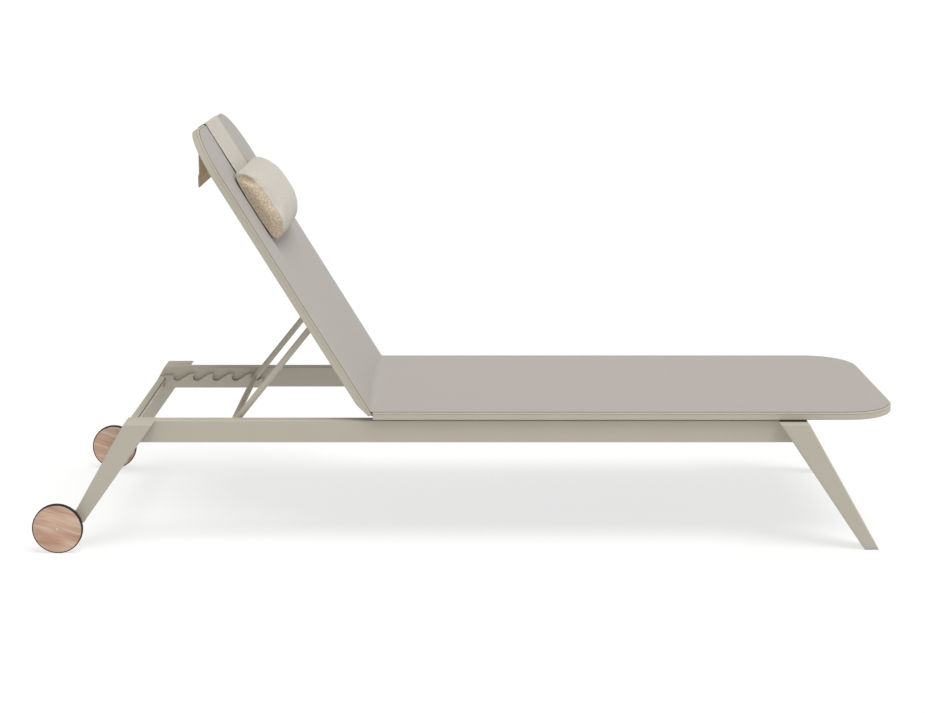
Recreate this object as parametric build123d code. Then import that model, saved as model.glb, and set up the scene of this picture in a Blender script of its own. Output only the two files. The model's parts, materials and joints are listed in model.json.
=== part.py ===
from build123d import *
import os
from math import asin, atan2, cos, degrees, hypot, radians, sin

# Reclining sun lounger on a two-wheel aluminium frame.
# Millimetres, +Z up, origin on the ground under the middle of the lounger.
# +X points to the foot end and +Y to the user's left, lying face up with the head at -X.

os.makedirs("parts", exist_ok=True)

# ---- driving dimensions -------------------------------------------------
HALF_LENGTH = 1033.0          # origin to the foot end of the deck, and to the wheel rims
DECK_HALF_WIDTH = 325.0
DECK_CORNER = 123.0           # outer corner radius of seat and backrest in plan
TUBE_WIDTH = 25.0             # frame tube of the deck, across
TUBE_DEPTH = 19.0             # frame tube of the deck, top to bottom
TUBE_WALL = 2.5
DECK_TOP = 330.0              # height of the deck frame's top face
SLING_THICK = 1.5
SLING_INSET = 6.0             # sling edge, in from the frame's outer edge
LIP_WIDTH = 4.0               # outer lip beside the sling groove
LIP_DROP = 1.0
GROOVE_WIDTH = 4.0
GROOVE_DEPTH = 5.0
SPLINE_WIDTH = 3.0
SPLINE_DROP = 0.8             # top of the spline, below the tube's top
EDGE_LOW = 3.0                # rounding of the tube's lower outer edge
EDGE_HIGH = 1.6
SHADOW_LINE = 4.8             # fine line pressed into the tube's outer side, below its top
SHADOW_WIDTH = 0.8
SHADOW_DEPTH = 0.7
SOLID_END = 45.0              # length of the plug in each cut end of a deck tube

HINGE_X = -232.0              # backrest hinge axis
HINGE_BELOW_TOP = 5.0
RECLINE = 58.7                # backrest angle above level in the stored pose
BACK_LENGTH = 780.0           # hinge axis to the top of the backrest
SEAT_START = -223.5           # head-side end of the seat frame

RAIL_OUTER = 313.0
RAIL_INNER = 280.0
RAIL_TOP = 307.0
RAIL_BOTTOM = 253.0
RAIL_WALL = 3.0

LEG_OUTER = 362.0             # outer face of the legs
LEG_TOP_OUT = 812.5           # leg outline at the rail's top
LEG_TOP_IN = 744.0
LEG_FOOT_OUT = 989.0          # leg outline at the ground
LEG_FOOT_IN = 954.0
HEAD_FOOT_IN = 963.0          # the head legs taper more, towards the wheels
LEG_FOOT_Y = 322.0            # inner face of the leg at the ground
LEG_WALL = 4.0
LEG_EDGE = 4.0
GLIDE_HEIGHT = 6.0

WHEEL_RADIUS = 60.0
WHEEL_X = -(HALF_LENGTH - WHEEL_RADIUS)
WHEEL_INNER = 374.0
HUB_INNER = 364.4             # inner end of the bush, beside the leg
WHEEL_OUTER = 387.0
TYRE_THICK = 2.2
AXLE_RADIUS = 5.0
RUNNING_GAP = 0.06
BUSH_RADIUS = 8.0
LUG_RADIUS = 11.0
LUG_INNER = 330.0

RACK_THICK = 4.5
RACK_OUTER = 275.0            # outer face of the rack, clear of the rail
RACK_START = -811.0
RACK_END = -548.0
RACK_FLAT_TOP = 285.8
RACK_CREST = 290.8
RACK_NOTCHES = 5
NOTCH_PITCH = 52.5
NOTCH_FIRST = -569.0          # bar centre in the notch nearest the hinge
BAR_RADIUS = 7.7
BAR_REST_Z = 279.5
BAR_HALF = 269.8              # the bar's ends stop short of the racks

PROP_S = 247.0                # prop pivot, along the backrest from the hinge
PROP_N = -4.5                 # prop pivot, in front of the hinge axis (+) or behind (-)
PROP_ARM_Y = 262.0
PROP_PIN_RADIUS = 4.0
KNUCKLE_RADIUS = 8.7

PILLOW_LOW = 457.0            # headrest pillow, along the backrest
PILLOW_HIGH = 643.0
PILLOW_HALF = 188.0
PILLOW_HEIGHT = 62.0
STRAP_HALF = 110.0
STRAP_THICK = 1.2
STRAP_GAP = 0.4
STRAP_TUCK = 12.0             # the strap starts this far inside the pillow's lower edge
TAIL_BOTTOM = 840.0
TAIL_GAP = 0.5

# ---- worked-out values --------------------------------------------------
DECK_BOTTOM = DECK_TOP - TUBE_DEPTH
HINGE_Z = DECK_TOP - HINGE_BELOW_TOP
LEG_OUT_SLOPE = (LEG_FOOT_OUT - LEG_TOP_OUT) / RAIL_TOP
BACK_UP = (-cos(radians(RECLINE)), sin(radians(RECLINE)))
BACK_FRONT = (sin(radians(RECLINE)), cos(radians(RECLINE)))
SLING_N = DECK_TOP - HINGE_Z + SLING_THICK


def leg_out(z):
    return LEG_FOOT_OUT - LEG_OUT_SLOPE * z


def leg_in(z, foot_in=LEG_FOOT_IN):
    return foot_in - (foot_in - LEG_TOP_IN) / RAIL_TOP * z


def back_point(along, front):
    # a point of the raised backrest as (x, z), from its distance along the
    # backrest and in front of the hinge axis
    x = HINGE_X + along * BACK_UP[0] + front * BACK_FRONT[0]
    z = HINGE_Z + along * BACK_UP[1] + front * BACK_FRONT[1]
    return x, z


PIVOT_X, PIVOT_Z = back_point(PROP_S, PROP_N)
PROP_LENGTH = hypot(PIVOT_X - NOTCH_FIRST, PIVOT_Z - BAR_REST_Z)

saved = []


def save(name, shape):
    export_step(shape, "parts/" + name + ".step")
    saved.append(name)


def save_pair(name, shape):
    # shape lies on the +Y side, the user's left
    save(name + "_left", shape)
    save(name + "_right", mirror(shape, Plane.XZ))


def both(shape):
    return [shape, mirror(shape, Plane.XZ)]


# ---- small building blocks ----------------------------------------------
def prism_xz(points, y_low, y_high):
    # closed outline in the X-Z plane, carried from y_low to y_high
    face = Plane.XZ * make_face(Polyline(*points, close=True))
    return Pos(0, y_high, 0) * extrude(face, y_high - y_low)


def prism_yz(points, x_low, x_high):
    face = Plane.YZ * make_face(Polyline(*points, close=True))
    return Pos(x_low, 0, 0) * extrude(face, x_high - x_low)


def rod_y(radius, x, z, y_low, y_high):
    face = Plane.XZ * Circle(radius)
    return Pos(x, y_high, z) * extrude(face, y_high - y_low)


def ring_y(outer, inner, x, z, y_low, y_high):
    return rod_y(outer, x, z, y_low, y_high) - rod_y(inner, x, z, y_low - 1, y_high + 1)


def block(x_low, x_high, y_low, y_high, z_low, z_high):
    corner = (Align.MIN, Align.MIN, Align.MIN)
    return Pos(x_low, y_low, z_low) * Box(x_high - x_low, y_high - y_low, z_high - z_low, align=corner)


def post(radius, height):
    # round post standing on its lower end
    return Cylinder(radius, height, align=(Align.CENTER, Align.CENTER, Align.MIN))


def deck_slab(x_start, x_end, inset, z_low, z_high):
    # plan outline of the deck, square at x_start and round-cornered at x_end
    half = DECK_HALF_WIDTH - inset
    end = x_end - inset
    plan = Rectangle(end - x_start, 2 * half, align=(Align.MIN, Align.CENTER))
    plan = fillet(plan.vertices().group_by(Axis.X)[-1], DECK_CORNER - inset)
    return Pos(x_start, 0, z_low) * extrude(plan, z_high - z_low)


def deck_ring(x_start, x_end, inset_out, inset_in, z_low, z_high):
    outer = deck_slab(x_start, x_end, inset_out, z_low, z_high)
    inner = deck_slab(x_start - 50, x_end, inset_in, z_low - 1, z_high + 1)
    return outer - inner


def outline_edges(solid, z, x_end):
    # edges of the outer outline at one height
    at_height = solid.edges().filter_by_position(Axis.Z, z - 0.01, z + 0.01)
    picked = []
    for edge in at_height:
        box = edge.bounding_box()
        side = max(abs(box.min.Y), abs(box.max.Y)) > DECK_HALF_WIDTH - 0.1
        end = box.max.X > x_end - 0.1
        across = abs(box.min.X - box.max.X) < 0.01 and not end
        if (side or end) and not across:
            picked.append(edge)
    return picked


def deck_frame(x_start, x_end, z_top):
    # bent frame tube with a softened outer edge, a shadow line round its side,
    # an outer lip and the groove that holds the sling
    z_low = z_top - TUBE_DEPTH
    frame = deck_ring(x_start, x_end, 0, TUBE_WIDTH, z_low, z_top)
    frame -= deck_ring(x_start - 5, x_end, -5, LIP_WIDTH, z_top - LIP_DROP, z_top + 1)
    groove_in = LIP_WIDTH + GROOVE_WIDTH
    frame -= deck_ring(x_start - 5, x_end, LIP_WIDTH, groove_in, z_top - GROOVE_DEPTH, z_top + 1)
    frame = fillet(outline_edges(frame, z_low, x_end), EDGE_LOW)
    frame = fillet(outline_edges(frame, z_top - LIP_DROP, x_end), EDGE_HIGH)
    line_top = z_top - SHADOW_LINE
    frame -= deck_ring(x_start - 5, x_end, -5, SHADOW_DEPTH, line_top - SHADOW_WIDTH, line_top)
    inset_in = TUBE_WIDTH - TUBE_WALL
    cavity_top = z_top - GROOVE_DEPTH - TUBE_WALL
    cavity_start = x_start + SOLID_END
    return frame - deck_ring(cavity_start, x_end, TUBE_WALL, inset_in, z_low + TUBE_WALL, cavity_top)


# ---- base frame ---------------------------------------------------------
def leg_solid(inset, z_bottom, foot_in=LEG_FOOT_IN):
    # tapered leg on the foot side, as two crossed prisms
    z_top = RAIL_TOP - inset
    side = [
        (leg_in(z_top, foot_in) + inset, z_top),
        (leg_out(z_top) - inset, z_top),
        (leg_out(z_bottom) - inset, z_bottom),
        (leg_in(z_bottom, foot_in) + inset, z_bottom),
    ]
    taper = (LEG_FOOT_Y - RAIL_INNER) / RAIL_BOTTOM
    front = [
        (RAIL_INNER + inset, z_top),
        (LEG_OUTER - inset, z_top),
        (LEG_OUTER - inset, z_bottom),
        (LEG_FOOT_Y - taper * z_bottom + inset, z_bottom),
        (RAIL_INNER + inset, RAIL_BOTTOM),
    ]
    return prism_xz(side, RAIL_INNER - 10, LEG_OUTER + 10) & prism_yz(front, 600, 1200)


def soft_leg(z_bottom, foot_in=LEG_FOOT_IN):
    leg = leg_solid(0, z_bottom, foot_in)
    long_edges = [edge for edge in leg.edges() if edge.length > 150]
    return fillet(long_edges, LEG_EDGE)


foot_leg = soft_leg(GLIDE_HEIGHT) - leg_solid(LEG_WALL, GLIDE_HEIGHT + 20)
save_pair("foot_leg", foot_leg)

glide_plug = leg_solid(1.0, 0.0) & block(900, 1000, 250, 400, 0, GLIDE_HEIGHT)
save_pair("foot_glide", glide_plug)

HEAD_LEG_END = 78.0
KNEE_RADIUS = 15.5
head_core = mirror(soft_leg(HEAD_LEG_END, HEAD_FOOT_IN), Plane.YZ)
knee_z = HEAD_LEG_END + 4
knee_x = -(leg_in(knee_z, HEAD_FOOT_IN) + leg_out(knee_z)) / 2
web_profile = make_hull(
    (Pos(WHEEL_X, WHEEL_RADIUS) * Circle(LUG_RADIUS)).edges()
    + (Pos(knee_x, knee_z) * Circle(KNEE_RADIUS)).edges()
)
web = Pos(0, LEG_OUTER, 0) * extrude(Plane.XZ * web_profile, LEG_OUTER - LUG_INNER)
head_leg = head_core + web
head_leg -= mirror(leg_solid(LEG_WALL, HEAD_LEG_END + 45, HEAD_FOOT_IN), Plane.YZ)
head_leg -= rod_y(AXLE_RADIUS, WHEEL_X, WHEEL_RADIUS, LUG_INNER - 5, LEG_OUTER + 5)
save_pair("head_leg", head_leg)


def rail_solid(inset):
    z_top = RAIL_TOP - inset
    z_low = RAIL_BOTTOM + inset
    slack = inset * 1.3
    points = [
        (slack - leg_in(z_top, HEAD_FOOT_IN), z_top),
        (leg_in(z_top) - slack, z_top),
        (leg_in(z_low) - slack, z_low),
        (slack - leg_in(z_low, HEAD_FOOT_IN), z_low),
    ]
    return prism_xz(points, RAIL_INNER + inset, RAIL_OUTER - inset)


# screw stations where the seat frame is bolted down on the rails
SEAT_SCREWS = [-150.0, 250.0, 650.0]
SCREW_Y = 304.2
SCREW_RADIUS = 3.0
SCREW_LONG = 9.4
SCREW_HEAD = 5.5
SCREW_HEAD_HIGH = 4.0
RIVET_RADIUS = 3.0
RIVET_COLLAR = 5.0            # collar that holds the rack clear of the rail
RIVET_Z = 259.0
RIVETS = [-764.0, -680.0, -596.0]
RIVET_END = RAIL_INNER + RAIL_WALL

rail = rail_solid(0)
rail_long = [edge for edge in rail.edges() if edge.length > 1000]
rail = fillet(rail_long, 2.5) - rail_solid(RAIL_WALL)
for x in SEAT_SCREWS:
    hole = Cylinder(SCREW_RADIUS, 12)
    rail -= Pos(x, SCREW_Y, RAIL_TOP) * hole
for x in RIVETS:
    rail -= rod_y(RIVET_RADIUS, x, RIVET_Z, RAIL_INNER - 5, RIVET_END + 1)
save_pair("side_rail", rail)

# ---- ratchet racks ------------------------------------------------------
POCKET = 8.2                  # pocket radius round the prop's bar
HOOK_BACK = 3.6               # how far the hook's tip leans back over the pocket
HOOK_LEAD = 3.0               # rounded shoulder before the hook


def rack_notch(x_bar):
    # cut-away above one notch: a pocket under a hooked wall on the head side and a
    # long straight ramp on the foot side, up to the next hook
    z_bar = BAR_REST_Z
    floor = z_bar - POCKET
    hook_x = x_bar - POCKET
    crest_x = hook_x + NOTCH_PITCH - HOOK_LEAD
    tip = (hook_x + HOOK_BACK, RACK_CREST - 2.5)
    pocket_end = (x_bar - 3.2, floor + 0.6)
    ramp_start = (x_bar + 8.0, floor + 1.4)
    ramp_end = (crest_x - 9.0, RACK_CREST - 2.8)
    ramp_run = (ramp_end[0] - ramp_start[0], ramp_end[1] - ramp_start[1])
    wall = ThreePointArc(tip, (hook_x - 0.6, z_bar + 1.0), pocket_end)
    base = Spline(pocket_end, ramp_start, tangents=[(1, -0.3), ramp_run])
    ramp = Line(ramp_start, ramp_end)
    crest = Spline(ramp_end, (crest_x, RACK_CREST), tangents=[ramp_run, (1, 0.02)])
    lid_z = RACK_CREST + 10
    lid_x = hook_x - 8
    nose_start = (hook_x - HOOK_LEAD, RACK_CREST)
    lid = Polyline((crest_x, RACK_CREST), (crest_x, lid_z), (lid_x, lid_z), (lid_x, RACK_CREST), nose_start)
    nose = ThreePointArc(nose_start, (hook_x + 1.2, RACK_CREST - 0.5), tip)
    face = Plane.XZ * make_face(wall + base + ramp + crest + lid + nose)
    return Pos(0, RACK_OUTER + 1, 0) * extrude(face, RACK_THICK + 2)


RACK_INNER = RACK_OUTER - RACK_THICK
rack = block(RACK_START, RACK_END, RACK_INNER, RACK_OUTER, RAIL_BOTTOM, RACK_CREST)
flat_end = NOTCH_FIRST - (RACK_NOTCHES - 1) * NOTCH_PITCH - POCKET + HOOK_BACK + 1
rack -= block(RACK_START - 1, flat_end, RACK_INNER - 1, RACK_OUTER + 1, RACK_FLAT_TOP, RACK_CREST + 1)
for i in range(RACK_NOTCHES):
    rack -= rack_notch(NOTCH_FIRST - i * NOTCH_PITCH)
end_x = RACK_END - 9
rack -= block(end_x, RACK_END + 5, RACK_INNER - 1, RACK_OUTER + 1, BAR_REST_Z + 1, RACK_CREST + 5)
for x in RIVETS:
    rack -= rod_y(RIVET_RADIUS, x, RIVET_Z, RACK_INNER - 1, RACK_OUTER + 1)
save_pair("ratchet_rack", rack)

rivets = []
for x in RIVETS:
    rivet = rod_y(RIVET_RADIUS, x, RIVET_Z, RACK_INNER, RIVET_END)
    rivets += both(rivet + rod_y(RIVET_COLLAR, x, RIVET_Z, RACK_OUTER, RAIL_INNER))
save("rack_rivets", Compound(children=rivets))

# ---- cross bars ---------------------------------------------------------
CROSS_TOP = 283.0
CROSS_SHY = 2.0               # step in from the leg's outer face
CROSS_WIDE = 22.0
BAR_EDGE = 7.0                # rounding of the upper edge that faces along the seat


def end_bar(inset):
    # hollow bar that leans with the legs, between the legs of one end
    z_top = CROSS_TOP - inset
    z_low = RAIL_BOTTOM + inset
    points = [
        (leg_out(z_top) - CROSS_SHY - inset, z_top),
        (leg_out(z_low) - CROSS_SHY - inset, z_low),
        (leg_out(z_low) - CROSS_SHY - CROSS_WIDE + inset, z_low),
        (leg_out(z_top) - CROSS_SHY - CROSS_WIDE + inset, z_top),
    ]
    return prism_xz(points, -RAIL_INNER + 12 * (inset > 0), RAIL_INNER - 12 * (inset > 0))


foot_bar = end_bar(0)
long_edges = [edge for edge in foot_bar.edges() if edge.length > 500]
high_edges = [edge for edge in long_edges if edge.center().Z > CROSS_TOP - 1]
seat_edge = min(high_edges, key=lambda edge: edge.center().X)
foot_bar = fillet(seat_edge, BAR_EDGE) - end_bar(3.0)
save("foot_cross_bar", foot_bar)
head_bar = mirror(foot_bar, Plane.YZ)
rack_room = block(RACK_START - 0.5, RACK_END, RACK_INNER - 0.2, RAIL_INNER + 1, 240, 300)
for room in both(rack_room):
    head_bar -= room
save("head_cross_bar", head_bar)


def mid_bar(x):
    outer = block(x - 12.5, x + 12.5, -RAIL_INNER, RAIL_INNER, 264, 298)
    inner = block(x - 10.5, x + 10.5, -RAIL_INNER + 1, RAIL_INNER - 1, 266, 296)
    return outer - inner


save("mid_cross_bar_head", mid_bar(-150.0))
save("mid_cross_bar_middle", mid_bar(250.0))
save("mid_cross_bar_foot", mid_bar(600.0))

# ---- seat ---------------------------------------------------------------
PIN_RADIUS = 2.5
PIN_DEPTH = 318.0             # how far the hinge pin reaches into the backrest tube
PLATE_INNER = 293.0
PLATE_OUTER = 299.4
PLATE_TOP = 4.4               # above the hinge axis, just under the sling

seat_frame = deck_frame(SEAT_START, HALF_LENGTH, DECK_TOP)
for x in SEAT_SCREWS:
    for side in (1, -1):
        seat_frame -= Pos(x, side * SCREW_Y, DECK_BOTTOM) * Cylinder(SCREW_RADIUS, 5)
save("seat_frame", seat_frame)

HEAD_TUBE_X = -193.0
head_tube = block(HEAD_TUBE_X - 12, HEAD_TUBE_X + 12, -300, 300, DECK_BOTTOM, DECK_BOTTOM + 12)
head_tube -= block(HEAD_TUBE_X - 10, HEAD_TUBE_X + 10, -298, 298, DECK_BOTTOM + 2, DECK_BOTTOM + 10)
for plate_room in both(block(-260, -150, PLATE_INNER - 0.1, 301, 300, 340)):
    head_tube -= plate_room
save("seat_head_tube", head_tube)

plate_points = [
    (HINGE_X - 3.0, HINGE_Z + PLATE_TOP),
    (HINGE_X + 60.0, HINGE_Z + PLATE_TOP),
    (HINGE_X + 60.0, DECK_BOTTOM),
    (HINGE_X + 6.0, DECK_BOTTOM + 3.0),
    (HINGE_X - 5.5, HINGE_Z - 4.0),
    (HINGE_X - 6.0, HINGE_Z + 1.0),
]
plate = prism_xz(plate_points, PLATE_INNER, PLATE_OUTER)
plate += block(HINGE_X + 14, HINGE_X + 60, PLATE_OUTER - 0.1, 300, DECK_BOTTOM, HINGE_Z + PLATE_TOP)
plate -= rod_y(PIN_RADIUS, HINGE_X, HINGE_Z, PLATE_INNER - 5, 305)
save_pair("hinge_plate", plate)

pin = rod_y(PIN_RADIUS, HINGE_X, HINGE_Z, PLATE_INNER, PIN_DEPTH)
pin += rod_y(4.2, HINGE_X, HINGE_Z, PLATE_INNER - 2.5, PLATE_INNER)
save_pair("hinge_pin", pin)

sling_start = HINGE_X + 6.0
seat_sling = deck_slab(sling_start, HALF_LENGTH, SLING_INSET, DECK_TOP, DECK_TOP + SLING_THICK)
save("seat_sling", seat_sling)

spline_low = DECK_TOP - GROOVE_DEPTH
spline_high = DECK_TOP - SPLINE_DROP
spline_out = LIP_WIDTH + 0.2
spline_in = LIP_WIDTH + SPLINE_WIDTH
seat_spline = deck_ring(SEAT_START + 2, HALF_LENGTH, spline_out, spline_in, spline_low, spline_high)
save("seat_spline", seat_spline)

spacers = []
for x in SEAT_SCREWS:
    pad = block(x - 20, x + 20, 300.2, 308.2, RAIL_TOP, DECK_BOTTOM)
    pad -= Pos(x, SCREW_Y, RAIL_TOP) * Cylinder(SCREW_RADIUS, 20)
    spacers += both(pad)
save("seat_spacers", Compound(children=spacers))

screws = []
for x in SEAT_SCREWS:
    shank = Pos(x, SCREW_Y, RAIL_TOP - RAIL_WALL) * post(SCREW_RADIUS, SCREW_LONG)
    head = Pos(x, SCREW_Y, RAIL_TOP - RAIL_WALL - SCREW_HEAD_HIGH) * post(SCREW_HEAD, SCREW_HEAD_HIGH)
    screws += both(shank + head)
save("seat_screws", Compound(children=screws))

# rubber rests that carry the seat frame on the foot legs
pad = block(LEG_TOP_IN + 3, LEG_TOP_OUT - 3, RAIL_OUTER + 2, DECK_HALF_WIDTH, RAIL_TOP, DECK_BOTTOM)
save_pair("frame_rest", pad)


# ---- backrest -----------------------------------------------------------
def raise_back(shape):
    # shape is drawn level, from the hinge along +X with its front face up
    return Pos(HINGE_X, 0, HINGE_Z) * Rot(0, RECLINE, 0) * Rot(0, 0, 180) * shape


BACK_TOP_N = HINGE_BELOW_TOP
BACK_LOW_N = BACK_TOP_N - TUBE_DEPTH
TIP_TAPER = 36.0

back_frame = deck_frame(0.0, BACK_LENGTH, BACK_TOP_N)
taper_cut = [
    (-8, -HINGE_BELOW_TOP),
    (0, -HINGE_BELOW_TOP),
    (TIP_TAPER, BACK_LOW_N),
    (TIP_TAPER, BACK_LOW_N - 5),
    (-8, BACK_LOW_N - 5),
]
back_frame -= prism_xz(taper_cut, -400, 400)
inner_side = DECK_HALF_WIDTH - TUBE_WIDTH
for tip in both(rod_y(HINGE_BELOW_TOP - 0.02, 0, 0, inner_side, DECK_HALF_WIDTH - 1.5)):
    back_frame += tip & block(-20, 0.5, -400, 400, -20, BACK_TOP_N - LIP_DROP)
for bore in both(rod_y(PIN_RADIUS + RUNNING_GAP, 0, 0, inner_side - 1, PIN_DEPTH + 0.5)):
    back_frame -= bore
save("back_frame", raise_back(back_frame))

back_tube = block(18, 42, -inner_side, inner_side, BACK_LOW_N, BACK_LOW_N + 12)
back_tube -= block(20, 40, -inner_side + 2, inner_side - 2, BACK_LOW_N + 2, BACK_LOW_N + 10)
save("back_lower_tube", raise_back(back_tube))

back_sling = deck_slab(3.0, BACK_LENGTH, SLING_INSET, BACK_TOP_N, SLING_N)
save("back_sling", raise_back(back_sling))

spline_low = BACK_TOP_N - GROOVE_DEPTH
spline_high = BACK_TOP_N - SPLINE_DROP
back_spline = deck_ring(8.0, BACK_LENGTH, spline_out, spline_in, spline_low, spline_high)
save("back_spline", raise_back(back_spline))

# ---- prop ---------------------------------------------------------------
ARM_INNER = PROP_ARM_Y - BAR_RADIUS
ARM_OUTER = PROP_ARM_Y + BAR_RADIUS

boss = rod_y(8.5, PIVOT_X, PIVOT_Z, ARM_OUTER + 0.6, inner_side)
boss -= rod_y(PROP_PIN_RADIUS, PIVOT_X, PIVOT_Z, ARM_OUTER - 5, inner_side - 6)
save_pair("prop_boss", boss)

prop_pin = rod_y(PROP_PIN_RADIUS, PIVOT_X, PIVOT_Z, ARM_INNER - 0.6, inner_side - 6)
prop_pin += rod_y(6.5, PIVOT_X, PIVOT_Z, ARM_INNER - 3.6, ARM_INNER - 0.6)
save_pair("prop_pin", prop_pin)

cross_bar = rod_y(BAR_RADIUS, NOTCH_FIRST, BAR_REST_Z, -BAR_HALF, BAR_HALF)
cross_bar = fillet(cross_bar.edges().filter_by(GeomType.CIRCLE), 1.5)
cross_bar -= rod_y(BAR_RADIUS - 2, NOTCH_FIRST, BAR_REST_Z, -BAR_HALF + 4, BAR_HALF - 4)
save("prop_cross_bar", cross_bar)

prop_lean = degrees(atan2(PIVOT_Z - BAR_REST_Z, PIVOT_X - NOTCH_FIRST))
arm = Pos(NOTCH_FIRST, PROP_ARM_Y, BAR_REST_Z) * Rot(0, 90 - prop_lean, 0) * post(BAR_RADIUS, PROP_LENGTH)
arm += rod_y(KNUCKLE_RADIUS, PIVOT_X, PIVOT_Z, ARM_INNER, ARM_OUTER)
arm -= rod_y(BAR_RADIUS, NOTCH_FIRST, BAR_REST_Z, PROP_ARM_Y - 20, PROP_ARM_Y + 20)
arm -= rod_y(PROP_PIN_RADIUS + RUNNING_GAP, PIVOT_X, PIVOT_Z, ARM_INNER - 5, ARM_OUTER + 5)
save_pair("prop_arm", arm)

# ---- headrest -----------------------------------------------------------
# strap: under the pillow, up the front, over the top edge and down behind it
strap_n = SLING_N + STRAP_GAP
nose_s = BACK_LENGTH - TUBE_DEPTH / 2 + 2.5
nose_n = (strap_n + BACK_LOW_N - 1.3) / 2
nose_r = strap_n - nose_n


def strap_outline(grow):
    # run from under the pillow's lowest place, round the top edge, to the drop
    r = nose_r + grow
    turn = radians(RECLINE)
    half_way = radians(25)
    start = (PILLOW_LOW + STRAP_TUCK, nose_n + r)
    bend_start = (nose_s, nose_n + r)
    bend_mid = (nose_s + r * cos(half_way), nose_n + r * sin(half_way))
    bend_end = (nose_s + r * sin(turn), nose_n - r * cos(turn))
    return Line(start, bend_start), ThreePointArc(bend_start, bend_mid, bend_end), bend_end


def strap_face():
    run_in, bend_in, stop_in = strap_outline(0.0)
    run_out, bend_out, stop_out = strap_outline(STRAP_THICK)
    closing = [Line(stop_in, stop_out), Line(run_in @ 0, run_out @ 0)]
    return make_face([run_in, bend_in, run_out, bend_out] + closing)


strap_solid = Pos(0, STRAP_HALF, 0) * extrude(Plane.XZ * strap_face(), 2 * STRAP_HALF)
save("headrest_strap", raise_back(strap_solid))

PILLOW_SIDE = 14.0            # height and width of the pillow's rounded lower corners
pillow_n = strap_n + STRAP_THICK + STRAP_GAP
pillow_mid = (PILLOW_LOW + PILLOW_HIGH) / 2
side_n = pillow_n + PILLOW_SIDE
crown = ThreePointArc((PILLOW_LOW, side_n), (pillow_mid, SLING_N + PILLOW_HEIGHT), (PILLOW_HIGH, side_n))
corner_in = PILLOW_SIDE * (1 - cos(radians(45)))


def pillow_corner(edge_s, inward):
    # rounded lower corner from the pillow's side to its underside
    side_end = (edge_s, side_n)
    middle = (edge_s + inward * corner_in, pillow_n + corner_in)
    under_end = (edge_s + inward * PILLOW_SIDE, pillow_n)
    return ThreePointArc(side_end, middle, under_end)


under = Line((PILLOW_LOW + PILLOW_SIDE, pillow_n), (PILLOW_HIGH - PILLOW_SIDE, pillow_n))
pillow_face = make_face(crown + pillow_corner(PILLOW_LOW, 1) + pillow_corner(PILLOW_HIGH, -1) + under)
pillow = Pos(0, PILLOW_HALF, 0) * extrude(Plane.XZ * pillow_face, 2 * PILLOW_HALF)
save("headrest_pillow", raise_back(pillow))

# drop: the strap's free end, which always hangs straight down behind the top edge
DROP_GAP = 0.4
WEIGHT_THICK = 2.2
WEIGHT_HIGH = 30.0
WEIGHT_HALF = STRAP_HALF - 10
HEM = 0.7
pocket_top = TAIL_BOTTOM + WEIGHT_HIGH + 2 * HEM
nose_x, nose_z = back_point(nose_s, nose_n)
drop_x = nose_x - nose_r - STRAP_THICK
drop = block(drop_x, drop_x + STRAP_THICK, -STRAP_HALF, STRAP_HALF, pocket_top + TAIL_GAP, nose_z - DROP_GAP)
save("strap_drop", drop)

# weighted pocket at the end of the drop, drawn up when the pillow is pulled down
weight_x = drop_x - TAIL_GAP - HEM - WEIGHT_THICK
weight_z = TAIL_BOTTOM + HEM
pocket_x = weight_x - HEM
pocket = block(pocket_x, drop_x - TAIL_GAP, -STRAP_HALF, STRAP_HALF, TAIL_BOTTOM, pocket_top)
weight_end = weight_x + WEIGHT_THICK
weight = block(weight_x, weight_end, -WEIGHT_HALF, WEIGHT_HALF, weight_z, weight_z + WEIGHT_HIGH)
save("weight_pocket", pocket - weight)
save("pocket_weight", weight)

# ---- wheels -------------------------------------------------------------
DISC_EDGE = 0.8
TYRE_EDGE = 1.6
HEAD_RADIUS = 9.0
RECESS_RADIUS = 10.5
BUSH_END = 382.0
CAP_LOW = 385.2
CAP_HIGH = WHEEL_OUTER + 0.4

disc = rod_y(WHEEL_RADIUS - TYRE_THICK, WHEEL_X, WHEEL_RADIUS, WHEEL_INNER, WHEEL_OUTER)
disc = chamfer(disc.edges().filter_by(GeomType.CIRCLE), DISC_EDGE)
disc -= rod_y(BUSH_RADIUS, WHEEL_X, WHEEL_RADIUS, WHEEL_INNER - 5, BUSH_END + 1)
disc -= rod_y(RECESS_RADIUS, WHEEL_X, WHEEL_RADIUS, BUSH_END, WHEEL_OUTER + 5)
save_pair("wheel_disc", disc)

tyre = rod_y(WHEEL_RADIUS, WHEEL_X, WHEEL_RADIUS, WHEEL_INNER, WHEEL_OUTER)
tyre = fillet(tyre.edges().filter_by(GeomType.CIRCLE), TYRE_EDGE)
tyre -= rod_y(WHEEL_RADIUS - TYRE_THICK, WHEEL_X, WHEEL_RADIUS, WHEEL_INNER - 5, WHEEL_OUTER + 5)
save_pair("wheel_tyre", tyre)

bore = AXLE_RADIUS + RUNNING_GAP
bush = ring_y(BUSH_RADIUS, bore, WHEEL_X, WHEEL_RADIUS, HUB_INNER, BUSH_END)
save_pair("wheel_bush", bush)

cap = rod_y(RECESS_RADIUS, WHEEL_X, WHEEL_RADIUS, CAP_LOW, CAP_HIGH)
save_pair("hub_cap", cap)

axle = rod_y(AXLE_RADIUS, WHEEL_X, WHEEL_RADIUS, LUG_INNER - 9, BUSH_END + 0.3)
axle += rod_y(HEAD_RADIUS, WHEEL_X, WHEEL_RADIUS, BUSH_END + 0.3, BUSH_END + 2.6)
save_pair("axle_bolt", axle)

washer = ring_y(9.5, AXLE_RADIUS, WHEEL_X, WHEEL_RADIUS, LEG_OUTER, HUB_INNER - 0.2)
save_pair("axle_washer", washer)

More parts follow.
